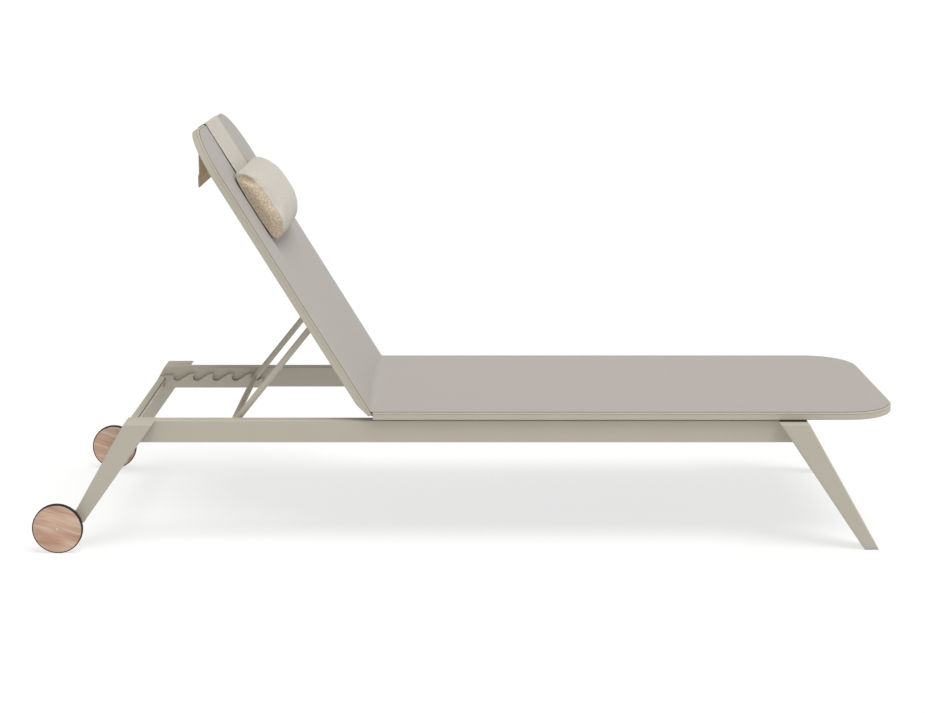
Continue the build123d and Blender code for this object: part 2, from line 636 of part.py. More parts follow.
nut_face = Plane.XZ * RegularPolygon(7.8, 6)
nut = Pos(WHEEL_X, LUG_INNER, WHEEL_RADIUS) * extrude(nut_face, 7)
nut -= rod_y(AXLE_RADIUS, WHEEL_X, WHEEL_RADIUS, LUG_INNER - 10, LUG_INNER + 1)
save_pair("axle_nut", nut)

# ---- motion, printed for the record -------------------------------------
flat_drop = HINGE_Z + PROP_N - (RACK_FLAT_TOP + BAR_RADIUS)
prop_flat = degrees(asin(flat_drop / PROP_LENGTH))
prop_turn = prop_lean - prop_flat + RECLINE
print("nodes", len(saved))
print("prop pivot", round(PIVOT_X, 3), round(PIVOT_Z, 3), "length", round(PROP_LENGTH, 2))
print("prop lean", round(prop_lean, 3), "flat", round(prop_flat, 3), "turn", round(prop_turn, 3))
print("coupling ratio", round(prop_turn / RECLINE, 4))
print("drop pivot", round(drop_x + STRAP_THICK / 2, 2), round(nose_z, 2))
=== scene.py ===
import json
import bmesh
import bpy
import numpy as np
from math import atan2, cos, pi, radians, sin, sqrt, tan
from mathutils import Euler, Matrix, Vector
from mathutils.bvhtree import BVHTree


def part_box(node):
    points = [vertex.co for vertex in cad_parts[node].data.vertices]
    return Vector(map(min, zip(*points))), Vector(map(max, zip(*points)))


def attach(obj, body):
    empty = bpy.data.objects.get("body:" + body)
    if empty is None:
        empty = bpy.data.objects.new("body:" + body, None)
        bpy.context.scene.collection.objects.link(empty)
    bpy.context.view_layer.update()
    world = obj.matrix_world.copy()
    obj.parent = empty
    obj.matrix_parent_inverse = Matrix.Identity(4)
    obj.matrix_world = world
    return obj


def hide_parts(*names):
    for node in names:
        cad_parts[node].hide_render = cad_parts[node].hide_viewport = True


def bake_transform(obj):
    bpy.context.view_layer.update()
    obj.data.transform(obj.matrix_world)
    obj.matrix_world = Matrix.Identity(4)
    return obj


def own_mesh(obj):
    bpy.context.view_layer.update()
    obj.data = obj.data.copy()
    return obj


# The look of a reclining sun lounger. Metres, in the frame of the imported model:
# +X to the foot end, +Y to the user's left, +Z up, ground at 0.

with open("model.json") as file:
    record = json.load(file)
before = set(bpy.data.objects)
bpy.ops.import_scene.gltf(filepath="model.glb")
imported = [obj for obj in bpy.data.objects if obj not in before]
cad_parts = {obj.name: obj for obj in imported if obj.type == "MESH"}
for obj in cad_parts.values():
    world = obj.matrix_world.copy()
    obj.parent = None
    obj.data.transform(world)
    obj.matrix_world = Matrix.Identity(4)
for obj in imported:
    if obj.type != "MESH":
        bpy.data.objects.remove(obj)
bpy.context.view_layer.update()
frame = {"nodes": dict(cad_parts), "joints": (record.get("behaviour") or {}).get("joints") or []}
nodes = frame["nodes"]
joints = {j["name"]: j for j in frame["joints"]}
MM = 0.001

# ---- places read from the frame ------------------------------------------
HINGE = Vector(joints["recline"]["pos_m"])
TURN = radians(joints["recline"]["range_deg"][1])
UP = Vector((-cos(TURN), 0, sin(TURN)))         # along the raised backrest
FRONT = Vector((sin(TURN), 0, cos(TURN)))       # out of its front face
SEAT_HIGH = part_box("seat_frame")[1]
DECK_TOP = SEAT_HIGH.z
DECK_HALF = SEAT_HIGH.y
FOOT_END = SEAT_HIGH.x
LIFT = DECK_TOP - HINGE.z                       # deck's top face above the hinge axis


def on_back(s, y, n):
    """A point of the raised backrest: along it from the hinge, across it, out of it."""
    return HINGE + UP * s + FRONT * n + Vector((0, y, 0))


def back_range(node):
    """Lowest and highest (along, across, out) of a CAD node that is on the backrest."""
    places = []
    for v in nodes[node].data.vertices:
        away = v.co - HINGE
        places.append((away.dot(UP), v.co.y, away.dot(FRONT)))
    return np.min(places, axis=0), np.max(places, axis=0)


BACK_LENGTH = float(back_range("back_frame")[1][0])
CORNER = 123 * MM                               # outer corner radius of the deck in plan


def smooth(t):
    """Ease from 0 to 1 while t goes from 0 to 1."""
    t = min(max(t, 0.0), 1.0)
    return t * t * (3 - 2 * t)


# ---- materials ------------------------------------------------------------
def srgb(r, g, b):
    """A colour given as 0-255 display values, as the linear colour that shaders use."""
    def linear(c):
        c /= 255
        return c / 12.92 if c <= 0.04045 else ((c + 0.055) / 1.055) ** 2.4
    return linear(r), linear(g), linear(b), 1.0


class Material:
    """A principled material with short ways to add and join nodes."""

    def __init__(self, name, **sockets):
        self.data = bpy.data.materials.new(name)
        self.data.use_nodes = True
        self.tree = self.data.node_tree
        self.shader = self.tree.nodes["Principled BSDF"]
        for socket, value in sockets.items():
            self.shader.inputs[socket.replace("_", " ")].default_value = value

    def add(self, kind, inputs=(), **settings):
        """A node, with its settings, and its inputs as numbers or other nodes' outputs."""
        node = self.tree.nodes.new("ShaderNode" + kind)
        for key, value in settings.items():
            setattr(node, key, value)
        for key, value in dict(inputs).items():
            self.join(value, node.inputs[key])
        return node

    def join(self, value, socket):
        """Link another node's output to the socket, or set its number."""
        if isinstance(value, bpy.types.NodeSocket):
            self.tree.links.new(value, socket)
        else:
            socket.default_value = value

    def place(self, kind="Object"):
        """Texture coordinates: the object's own metres, or its UVs."""
        return self.add("TexCoord").outputs[kind]

    def math(self, operation, a, b=0.0, c=0.0):
        return self.add("Math", {0: a, 1: b, 2: c}, operation=operation).outputs[0]

    def vector_scale(self, vector, factors):
        return self.add("VectorMath", {0: vector, 1: factors}, operation="MULTIPLY").outputs[0]

    def noise(self, vector, scale, detail=2.0, roughness=0.5):
        inputs = {"Vector": vector, "Scale": scale, "Detail": detail, "Roughness": roughness}
        return self.add("TexNoise", inputs).outputs["Fac"]

    def ramp(self, factor, stops):
        node = self.add("ValToRGB", {"Fac": factor})
        elements = node.color_ramp.elements
        while len(elements) < len(stops):
            elements.new(0.5)
        for element, (at, colour) in zip(elements, stops):
            element.position = at
            element.color = colour
        return node.outputs["Color"]

    def mix(self, factor, a, b):
        node = self.add("Mix", data_type="RGBA")
        self.join(factor, node.inputs[0])
        self.join(a, node.inputs[6])
        self.join(b, node.inputs[7])
        return node.outputs[2]

    def colour(self, socket):
        self.tree.links.new(socket, self.shader.inputs["Base Color"])

    def rough(self, factor, low, high):
        """Roughness between low and high, led by a factor of 0 to 1."""
        spread = self.add("MapRange", {"Value": factor, "To Min": low, "To Max": high})
        self.tree.links.new(spread.outputs[0], self.shader.inputs["Roughness"])

    def bump(self, height, distance, strength=1.0):
        """Relief of up to distance metres."""
        inputs = {"Height": height, "Distance": distance, "Strength": strength}
        normal = self.add("Bump", inputs).outputs["Normal"]
        self.tree.links.new(normal, self.shader.inputs["Normal"])


def shade(colour, factor):
    """The colour made lighter or darker."""
    return tuple(c * factor for c in colour[:3]) + (1.0,)


def powder_coat(name, colour):
    """Fine-textured powder coat on aluminium, faintly cloudy."""
    m = Material(name, Roughness=0.55)
    place = m.place()
    cloud = m.noise(place, 9.0, 3.0)
    grain = m.noise(place, 1400.0, 2.0, 0.6)
    m.colour(m.mix(cloud, shade(colour, 0.97), shade(colour, 1.03)))
    m.rough(grain, 0.48, 0.62)
    m.bump(grain, 0.06 * MM, 0.5)
    return m.data


def rubber(name, colour):
    """Dull moulded rubber, slightly uneven."""
    m = Material(name, Roughness=0.7)
    grain = m.noise(m.place(), 900.0, 3.0, 0.7)
    m.colour(m.mix(grain, shade(colour, 0.75), shade(colour, 1.3)))
    m.rough(grain, 0.6, 0.85)
    m.bump(grain, 0.1 * MM, 0.4)
    return m.data


def moulded_plastic(name, colour):
    """Satin moulded plastic with a fine grain."""
    m = Material(name, Roughness=0.5)
    grain = m.noise(m.place(), 700.0, 3.0, 0.6)
    m.colour(m.mix(grain, shade(colour, 0.95), shade(colour, 1.04)))
    m.rough(grain, 0.42, 0.6)
    m.bump(grain, 0.05 * MM, 0.4)
    return m.data


def turned_steel(name, colour):
    """Plated steel with fine turning marks."""
    m = Material(name, Metallic=1.0, Roughness=0.32)
    streaks = m.noise(m.vector_scale(m.place(), (300.0, 2600.0, 300.0)), 1.0, 3.0)
    m.colour(m.mix(streaks, shade(colour, 0.85), colour))
    m.rough(streaks, 0.24, 0.4)
    m.bump(streaks, 0.03 * MM, 0.4)
    return m.data


def weave(m, place, pitch, slack=0.0):
    """Height of a plain weave, 0 to 1, in a plane whose first two coordinates are metres.

    Slack lets the threads wander, in pitches."""
    if slack:
        wander = m.add("TexNoise", {"Vector": place, "Scale": 0.22 / pitch, "Detail": 2.0})
        swing = {0: wander.outputs["Color"], 1: (0.5, 0.5, 0.5)}
        centred = m.add("VectorMath", swing, operation="SUBTRACT")
        shift = m.vector_scale(centred.outputs[0], (slack * pitch,) * 3)
        place = m.add("VectorMath", {0: place, 1: shift}, operation="ADD").outputs[0]
    split = m.add("SeparateXYZ", {0: place})
    turn = pi / pitch
    along = m.math("SINE", m.math("MULTIPLY", split.outputs[0], turn))
    across = m.math("SINE", m.math("MULTIPLY", split.outputs[1], turn))
    warp = m.math("POWER", m.math("ABSOLUTE", along), 0.6)
    weft = m.math("POWER", m.math("ABSOLUTE", across), 0.6)
    over = m.math("GREATER_THAN", m.math("MULTIPLY", along, across), 0.0)
    warp_up = m.math("MULTIPLY", warp, m.math("MULTIPLY_ADD", weft, 0.5, 0.5))
    weft_up = m.math("MULTIPLY", weft, m.math("MULTIPLY_ADD", warp, 0.5, 0.5))
    picked = m.add("Mix", {0: over, 2: warp_up, 3: weft_up}, data_type="FLOAT")
    return picked.outputs[0]


def sling_cloth(name, colour):
    """Tight outdoor sling mesh: fine weave, painted shade where the threads dip, and a faint lengthwise
    drift.
    """
    m = Material(name, Roughness=0.62)
    place = m.place("UV")
    threads = weave(m, place, 1.1 * MM)
    drift = m.noise(m.vector_scale(place, (3.0, 14.0, 1.0)), 1.0, 3.0)
    fleck = m.noise(place, 420.0, 3.0, 0.7)
    base = m.mix(drift, shade(colour, 0.975), shade(colour, 1.025))
    # painted shade between the threads, where the weave dips
    thread_dip_shade = m.mix(fleck, shade(colour, 0.62), shade(colour, 0.84))
    m.colour(m.mix(m.math("POWER", threads, 0.5), thread_dip_shade, base))
    m.rough(threads, 0.7, 0.52)
    m.bump(threads, 0.2 * MM, 0.6)
    m.shader.inputs["Sheen Weight"].default_value = 0.15
    m.shader.inputs["Sheen Roughness"].default_value = 0.4
    return m.data


def bolster_cloth(name, colour, pitch, contrast):
    """Coarse melange weave of thick and thin yarns, with painted shade where the threads dip, and more or
    less contrast.
    """
    m = Material(name, Roughness=0.9)
    place = m.place("UV")
    threads = weave(m, place, pitch, 0.5)
    yarn = m.noise(m.vector_scale(place, (0.35 / pitch, 1.2 / pitch, 1.0)), 1.0, 2.0)
    fleck = m.noise(place, 0.9 / pitch, 3.0, 0.65)
    patch = m.noise(place, 0.55 / pitch, 2.0, 0.6)
    light = m.mix(yarn, shade(colour, 1 - 0.14 * contrast), shade(colour, 1 + 0.16 * contrast))
    # painted shade between the threads, where the weave dips
    dark = m.mix(fleck, shade(colour, 1 - 0.7 * contrast), shade(colour, 1 - 0.35 * contrast))
    woven = m.mix(m.math("POWER", threads, 0.55), dark, light)
    worn = m.ramp(patch, [(0.36, shade((1, 1, 1), 1 - 0.42 * contrast)), (0.6, (1, 1, 1, 1))])
    both = m.add("Mix", data_type="RGBA", blend_type="MULTIPLY")
    m.join(1.0, both.inputs[0])
    m.join(woven, both.inputs[6])
    m.join(worn, both.inputs[7])
    m.colour(both.outputs[2])
    fuzz = m.noise(place, 5.0 / pitch, 2.0, 0.7)
    m.bump(m.math("ADD", threads, m.math("MULTIPLY", fuzz, 0.35)), 1.1 * MM, 0.8)
    m.shader.inputs["Sheen Weight"].default_value = 0.35
    m.shader.inputs["Sheen Roughness"].default_value = 0.5
    return m.data


def teak(name, base, dark, grey):
    """Oiled teak: pinkish tan with slanting reddish streaks, greyish patches and fine pores."""
    m = Material(name, Roughness=0.5)
    spin = m.add("Mapping", {"Vector": m.place(), "Rotation": (0.0, radians(-17.0), 0.0)})
    place = m.vector_scale(spin.outputs[0], (7.0, 9.0, 78.0))
    warp = m.noise(m.vector_scale(spin.outputs[0], (9.0, 9.0, 22.0)), 1.0, 2.0, 0.5)
    lift = m.add("CombineXYZ", {2: m.math("MULTIPLY", warp, 2.4)}).outputs[0]
    bent = m.add("VectorMath", {0: place, 1: lift}, operation="ADD").outputs[0]
    streaks = m.noise(bent, 1.0, 4.0, 0.6)
    patches = m.noise(m.vector_scale(spin.outputs[0], (9.0, 12.0, 62.0)), 1.0, 3.0, 0.55)
    fine = m.noise(m.vector_scale(spin.outputs[0], (70.0, 70.0, 1500.0)), 1.0, 3.0, 0.7)
    body = m.mix(m.math("MULTIPLY_ADD", patches, 2.2, -0.7), base, grey)
    redness = [(0.32, (0.9, 0.9, 0.9, 1)), (0.45, (0.5, 0.5, 0.5, 1)), (0.62, (0, 0, 0, 1))]
    streaked = m.mix(m.ramp(streaks, redness), body, dark)
    m.colour(m.mix(m.math("MULTIPLY", fine, 0.35), streaked, shade(dark, 0.9)))
    m.rough(streaks, 0.42, 0.6)
    m.bump(fine, 0.12 * MM, 0.5)
    return m.data


TAUPE = srgb(180, 175, 162)
coat = powder_coat("powder_coat", TAUPE)
steel = turned_steel("steel", srgb(190, 190, 188))
black_rubber = rubber("black_rubber", srgb(34, 34, 34))
tyre_rubber = rubber("tyre_rubber", srgb(15, 13, 12))
glide_plastic = moulded_plastic("glide_plastic", srgb(178, 173, 162))
nylon = moulded_plastic("nylon", srgb(205, 203, 196))
wood = teak("teak", srgb(213, 180, 156), srgb(160, 110, 88), srgb(216, 200, 182))
sling = sling_cloth("sling_cloth", srgb(173, 169, 165))
# a darker copy of the sling cloth for the cords and the sling's turned-down rim: painted shade in the
# frame's groove
cord_and_groove_shade_cloth = sling_cloth("cord_and_groove_shade_cloth", srgb(158, 151, 139))
bolster = bolster_cloth("bolster_cloth", srgb(216, 211, 201), 2.2 * MM, 0.4)
# a warmer, more contrasted copy of the pillow cloth for its flat ends: painted shade
bolster_end_painted_shade = bolster_cloth("bolster_end_painted_shade_cloth", srgb(230, 211, 184), 2.6 * MM, 0.9)
strap_cloth = bolster_cloth("strap_cloth", srgb(222, 217, 205), 1.8 * MM, 0.6)
# a warmer copy of the strap cloth for its back faces: painted shade, as those faces lie in shade
strap_painted_shade = bolster_cloth("strap_painted_shade_cloth", srgb(245, 213, 156), 1.8 * MM, 0.6)

# by the start of a CAD node's name; every other node is powder-coated
NODE_MATERIALS = {
    "wheel_disc": wood,
    "wheel_tyre": tyre_rubber,
    "wheel_bush": nylon,
    "hub_cap": wood,
    "foot_glide": glide_plastic,
    "frame_rest": black_rubber,
    "seat_spacers": black_rubber,
    "axle_bolt": steel,
    "axle_washer": steel,
    "hinge_pin": steel,
    "prop_pin": steel,
    "seat_screws": steel,
    "pocket_weight": steel,
    "seat_spline": cord_and_groove_shade_cloth,
    "back_spline": cord_and_groove_shade_cloth,
}


def paint_frame():
    """Give each CAD node its material."""
    for name, obj in nodes.items():
        found = [m for start, m in NODE_MATERIALS.items() if name.startswith(start)]
        obj.data.materials.clear()
        obj.data.materials.append(found[0] if found else coat)


# ---- small mesh tools -----------------------------------------------------
def new_piece(name, points, faces, uvs=None, smooth_faces=True):
    """An object made of points and faces, with one UV pair per point."""
    mesh = bpy.data.meshes.new(name)
    mesh.from_pydata([tuple(p) for p in points], [], faces)
    if smooth_faces:
        mesh.polygons.foreach_set("use_smooth", [True] * len(mesh.polygons))
    if uvs is not None:
        layer = mesh.uv_layers.new(name="UVMap")
        for loop in mesh.loops:
            layer.data[loop.index].uv = uvs[loop.vertex_index]
    mesh.update()
    obj = bpy.data.objects.new(name, mesh)
    bpy.context.scene.collection.objects.link(obj)
    return obj


def grid_faces(rows, columns, closed=False):
    """Quads over a grid of points, which may close on itself across its columns."""
    faces = []
    for i in range(rows - 1):
        for j in range(columns if closed else columns - 1):
            k = (j + 1) % columns
            faces.append((i * columns + j, i * columns + k, (i + 1) * columns + k, (i + 1) * columns + j))
    return faces


def solidify(obj, thickness, offset=-1.0):
    """Give a sheet its thickness."""
    m = obj.modifiers.new("thickness", "SOLIDIFY")
    m.thickness = thickness
    m.offset = offset
    return m


# ---- sling: one cloth over seat and backrest ------------------------------
SLING_THICK = 1.1 * MM
SLING_EDGE = 5.4 * MM                           # the cloth's top turns down this far in
SLING_SAG = 2.2 * MM
SLING_COLUMNS = 49
FOLD_TIGHT = 9 * MM                             # fold radius at the sides
FOLD_LOOSE = 40 * MM                            # and in the middle, where the cloth bridges the fold
FOLD_OFFSET = LIFT / tan((pi - TURN) / 2)       # fold line, along the seat from the hinge
FOLD_ZONE = 60 * MM                             # close rows this far to each side of the fold line
# the rim's section, outwards and downwards from the edge of the cloth's top
RIM_TURN = [(0.45 * MM, 0.12 * MM), (0.8 * MM, 0.45 * MM), (0.95 * MM, 0.95 * MM), (0.95 * MM, 2.2 * MM)]

SLING_HALF = DECK_HALF - SLING_EDGE
SLING_CORNER = CORNER - SLING_EDGE
SLING_LOW = -(FOOT_END - SLING_EDGE - HINGE.x - FOLD_OFFSET)
SLING_HIGH = BACK_LENGTH - SLING_EDGE - FOLD_OFFSET


def fold_place(p, q, height):
    """Where a point of the cloth goes. p is along it from the fold, negative over the seat."""
    t = q / SLING_HALF
    radius = FOLD_TIGHT + (FOLD_LOOSE - FOLD_TIGHT) * max(1 - t * t, 0.0) ** 1.5
    reach = radius * tan(TURN / 2)
    base = HINGE + Vector((FOLD_OFFSET, q, LIFT))
    if p <= -reach:
        return base + Vector((-p, 0, height))
    if p >= reach:
        return base + UP * p + FRONT * height
    turned = (p + reach) / (2 * reach) * TURN
    inward = radius - height
    centre = base + Vector((reach, 0, radius))
    return centre - Vector((sin(turned), 0, cos(turned))) * inward


def sling_half(p):
    """Half the cloth's width at p, narrower in the rounded corners."""
    into = max(SLING_LOW + SLING_CORNER - p, p - (SLING_HIGH - SLING_CORNER), 0.0)
    return SLING_HALF - SLING_CORNER + sqrt(max(SLING_CORNER * SLING_CORNER - into * into, 0.0))


def sling_stations():
    """Distances along the cloth: close together in the corners and at the fold."""
    corner = [SLING_CORNER * (1 - cos(pi / 2 * i / 14)) for i in range(15)]
    stations = [SLING_LOW + c for c in corner]
    spans = [
        (SLING_LOW + SLING_CORNER, -FOLD_ZONE, 56),
        (-FOLD_ZONE, FOLD_ZONE, 28),
        (FOLD_ZONE, SLING_HIGH - SLING_CORNER, 36),
    ]
    for start, end, count in spans:
        stations += [start + (end - start) * (i + 1) / count for i in range(count)]
    stations += [SLING_HIGH - c for c in reversed(corner[:-1])]
    return stations


def sling_across(p, column):
    """Where a column of the cloth lies at p, as a share of its half width and in metres."""
    t = sin(pi / 2 * (2 * column / (SLING_COLUMNS - 1) - 1))
    return t, sling_half(p) * t


def sling_sag(p, t):
    """How far the cloth hangs below its frame: nothing at the rim and at the fold."""
    ends = smooth(min(p - SLING_LOW, SLING_HIGH - p) / 0.2)
    fold = smooth((abs(p) - 0.03) / 0.2)
    return SLING_SAG * (1 - t * t) * ends * fold


def rim_cells(rows):
    """The grid's outermost points in order round the cloth, as row and column."""
    last_row, last_column = rows - 1, SLING_COLUMNS - 1
    cells = [(i, last_column) for i in range(rows)]
    cells += [(last_row, j) for j in range(last_column - 1, -1, -1)]
    cells += [(i, 0) for i in range(last_row - 1, -1, -1)]
    cells += [(0, j) for j in range(1, last_column)]
    return cells


def rim_outward(p, q):
    """The way out of the cloth's outline at a point on it, in the cloth's own plane."""
    core_p = min(max(p, SLING_LOW + SLING_CORNER), SLING_HIGH - SLING_CORNER)
    core_q = min(max(q, -(SLING_HALF - SLING_CORNER)), SLING_HALF - SLING_CORNER)
    return Vector((p - core_p, q - core_q)).normalized()


def make_sling():
    """The cloth's top, and its rim turned down into the frame's groove."""
    stations = sling_stations()
    points, uvs = [], []
    for p in stations:
        for column in range(SLING_COLUMNS):
            t, q = sling_across(p, column)
            points.append(fold_place(p, q, SLING_THICK - sling_sag(p, t)))
            uvs.append((p, q))
    faces = grid_faces(len(stations), SLING_COLUMNS)
    top_faces = len(faces)
    rim = rim_cells(len(stations))
    count = len(rim)
    ring = [row * SLING_COLUMNS + column for row, column in rim]
    for out, down in RIM_TURN:
        fresh = list(range(len(points), len(points) + count))
        for row, column in rim:
            p = stations[row]
            q = sling_across(p, column)[1]
            away = rim_outward(p, q)
            turned_p = p + away.x * out
            turned_q = q + away.y * out
            points.append(fold_place(turned_p, turned_q, SLING_THICK - down))
            uvs.append((turned_p, turned_q + down))
        for k in range(count):
            after = (k + 1) % count
            faces.append((ring[k], fresh[k], fresh[after], ring[after]))
        ring = fresh
    obj = new_piece("sling", points, faces, uvs)
    solidify(obj, SLING_THICK * 0.8)
    obj.data.materials.append(sling)
    obj.data.materials.append(cord_and_groove_shade_cloth)
    # the turned-down rim takes the darker cloth: painted shade in the groove
    for poly in obj.data.polygons[top_faces + count:]:
        poly.material_index = 1
    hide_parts("seat_sling", "back_sling")
    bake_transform(obj)


# ---- pillow ---------------------------------------------------------------
STRAP_LOW, STRAP_HIGH = back_range("headrest_strap")
STRAP_HALF = float(STRAP_HIGH[1])
PILLOW_LOW, PILLOW_HIGH = back_range("headrest_pillow")
PILLOW_MID = (PILLOW_LOW[0] + PILLOW_HIGH[0]) / 2
PILLOW_HALF_S = (PILLOW_HIGH[0] - PILLOW_LOW[0]) / 2
PILLOW_HALF_Y = float(PILLOW_HIGH[1])
PILLOW_N = float(PILLOW_LOW[2])
PILLOW_TALL = float(PILLOW_HIGH[2] - PILLOW_LOW[2])
PILLOW_END = PILLOW_HALF_Y * 0.97               # flat end of the pillow before it swells
PILLOW_RINGS = 49
PILLOW_VOXEL = 5 * MM
PILLOW_HELD = 3 * MM                            # the underside, up to here, stays on the cloth
SWELL_FRAMES = 20
SWELL_LIMIT = 9 * MM                            # no point moves further than this
SEAM_RADIUS = 0.9 * MM


def bolster_ring(y, count):
    """One D-shaped section: flat underside, square lower corner, crown highest near it.

    The underside rests on the strap in the middle and settles onto the sling beside it."""
    ends = min(abs(y) / PILLOW_HALF_Y, 1.0)
    tall = PILLOW_TALL * (0.95 - 0.10 * ends ** 3)
    wide = PILLOW_HALF_S * (1.03 - 0.02 * ends ** 3)
    settle = smooth((abs(y) - STRAP_HALF - 4 * MM) / (16 * MM))
    under = PILLOW_N + (0.8 - 3.6 * settle) * MM
    ring = []
    for k in range(count):
        a = 2 * pi * k / count
        c, s = cos(a), sin(a)
        across = abs(c) ** (0.64 if c < 0 else 0.7) * (1 if c > 0 else -1)
        if s > 0:
            n = tall * (0.2 + 0.8 * s ** 0.8) * (1 - 0.06 * across)
        else:
            n = tall * 0.2 * (1 - abs(s) ** 0.75)
        ring.append((PILLOW_MID + wide * across, y, under + n))
    return ring


def mark_ends(mesh):
    """Give the flat ends the second material, the pillow cloth's copy with painted shade."""
    for poly in mesh.polygons:
        poly.material_index = 1 if abs(poly.normal.y) > 0.7 else 0


def pillow_shell():
    """The pillow before it swells, as a closed mesh with flat ends."""
    count = 64
    half_rings = (PILLOW_RINGS - 1) // 2
    rings = [bolster_ring((i / half_rings - 1) * PILLOW_END, count) for i in range(PILLOW_RINGS)]
    points = [on_back(*place) for ring in rings for place in ring]
    faces = grid_faces(len(rings), count, closed=True)
    faces.append(tuple(range(count))[::-1])
    faces.append(tuple((len(rings) - 1) * count + k for k in range(count)))
    obj = new_piece("pillow", points, faces)
    obj.data.materials.append(bolster)
    obj.data.materials.append(bolster_end_painted_shade)
    mark_ends(obj.data)
    fix = bmesh.new()
    fix.from_mesh(obj.data)
    bmesh.ops.recalc_face_normals(fix, faces=fix.faces)
    fix.to_mesh(obj.data)
    fix.free()
    return obj


def baked(obj):
    """The object's mesh with its modifiers applied."""
    graph = bpy.context.evaluated_depsgraph_get()
    mesh = bpy.data.meshes.new_from_object(obj.evaluated_get(graph))
    obj.modifiers.clear()
    obj.data = mesh
    return mesh


def swell_pillow(obj):
    """Fill the pillow by cloth simulation, held under it."""
    remesh = obj.modifiers.new("remesh", "REMESH")
    remesh.mode = "VOXEL"
    remesh.voxel_size = PILLOW_VOXEL
    mesh = baked(obj)
    mark_ends(mesh)
    group = obj.vertex_groups.new(name="held")
    before = [v.co.copy() for v in mesh.vertices]
    for v in mesh.vertices:
        if (v.co - HINGE).dot(FRONT) - PILLOW_N < PILLOW_HELD:
            group.add([v.index], 1.0, "REPLACE")
    cloth = obj.modifiers.new("cloth", "CLOTH")
    cloth.settings.quality = 6
    cloth.settings.mass = 0.3
    cloth.settings.tension_stiffness = 12
    cloth.settings.compression_stiffness = 12
    cloth.settings.bending_stiffness = 0.6
    cloth.settings.use_pressure = True
    cloth.settings.uniform_pressure_force = 4
    cloth.settings.vertex_group_mass = "held"
    cloth.settings.effector_weights.gravity = 0
    cloth.point_cache.frame_end = SWELL_FRAMES
    scene = bpy.context.scene
    for step in range(1, SWELL_FRAMES + 1):
        scene.frame_set(step)
    mesh = baked(obj)
    for v, start in zip(mesh.vertices, before):
        moved = v.co - start
        if moved.length > SWELL_LIMIT:
            v.co = start + moved * (SWELL_LIMIT / moved.length)
    scene.frame_set(1)


def soften_pillow(obj):
    """A little smoothing and a round of subdivision."""
    even = obj.modifiers.new("even", "SMOOTH")
    even.factor = 0.5
    even.iterations = 4
    finer = obj.modifiers.new("finer", "SUBSURF")
    finer.levels = 1
    finer.render_levels = 1
    mesh = baked(obj)
    mesh.polygons.foreach_set("use_smooth", [True] * len(mesh.polygons))


def place_uvs(mesh):
    """The cloth's own coordinates on the pillow, in metres: round the crown and along it."""
    layer = mesh.uv_layers.get("UVMap") or mesh.uv_layers.new(name="UVMap")
    crown = 0.12                                # metres of cloth per radian round the crown
    below = 0.06                                # the centre of that turn, under the pillow
    apart = 2.0                                 # keeps the ends' weave clear of the crown's
    for poly in mesh.polygons:
        for index in poly.loop_indices:
            co = mesh.vertices[mesh.loops[index].vertex_index].co
            away = co - HINGE
            s, n = away.dot(UP) - PILLOW_MID, away.dot(FRONT) - PILLOW_N
            if poly.material_index == 1:
                layer.data[index].uv = (s, n + apart)
            else:
                layer.data[index].uv = (atan2(s, n + below) * crown, co.y)


def finish_pillow(obj):
    """The pillow's place in the model: a padded piece that rides with the headrest."""
    place_uvs(obj.data)
    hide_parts("headrest_pillow")
    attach(obj, "headrest")


def tube(name, line, radius, sides=10):
    """A thin closed ring of round section along a closed line of points."""
    points = []
    count = len(line)
    for i, point in enumerate(line):
        ahead = (line[(i + 1) % count] - line[i - 1]).normalized()
        side = Vector((0, 1, 0))
        out = ahead.cross(side).normalized()
        for k in range(sides):
            a = 2 * pi * k / sides
            points.append(point + (out * cos(a) + side * sin(a)) * radius)
    faces = grid_faces(count, sides, closed=True)
    last = (count - 1) * sides
    for k in range(sides):
        j = (k + 1) % sides
        faces.append((last + k, last + j, j, k))
    return new_piece(name, points, faces)


def make_seams(pillow):
    """The sewn edge round each end of the pillow, found on its surface."""
    corners = [v.co for v in pillow.data.vertices]
    tree = BVHTree.FromPolygons(corners, [tuple(p.vertices) for p in pillow.data.polygons])
    for name, side in (("seam_left", 1), ("seam_right", -1)):
        core = on_back(PILLOW_MID, side * (PILLOW_END - 30 * MM), PILLOW_N + PILLOW_TALL * 0.42)
        line = []
        for place in bolster_ring(side * (PILLOW_END + 1 * MM), 140):
            toward = (on_back(*place) - core).normalized()
            line.append(tree.ray_cast(core, toward)[0])
        seam = tube(name, line, SEAM_RADIUS)
        seam.data.materials.append(bolster)
        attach(seam, "headrest")


# ---- strap, its hanging end and the weighted pocket ------------------------
DROP_LOW, DROP_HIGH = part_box("strap_drop")
POCKET_LOW, POCKET_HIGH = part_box("weight_pocket")
STRAP_THICK = DROP_HIGH.x - DROP_LOW.x
STRAP_COLUMNS = 33
HEM = 8 * MM                                    # width of the sewn edge
HEM_PROUD = 0.35 * MM
STITCH_DEEP = 0.3 * MM
STITCH_HALF = 1.2 * MM
EDGE_GAP = 0.9 * MM                             # between the backrest's top edge and the strap's middle
TURN_RADIUS = 2.2 * MM                          # of the strap where it turns over that edge
DROP_X = (DROP_LOW.x + DROP_HIGH.x) / 2
DROP_TOP = DROP_HIGH.z + 0.4 * MM               # where the strap and its hanging end meet
POCKET_THICK = 0.7 * MM


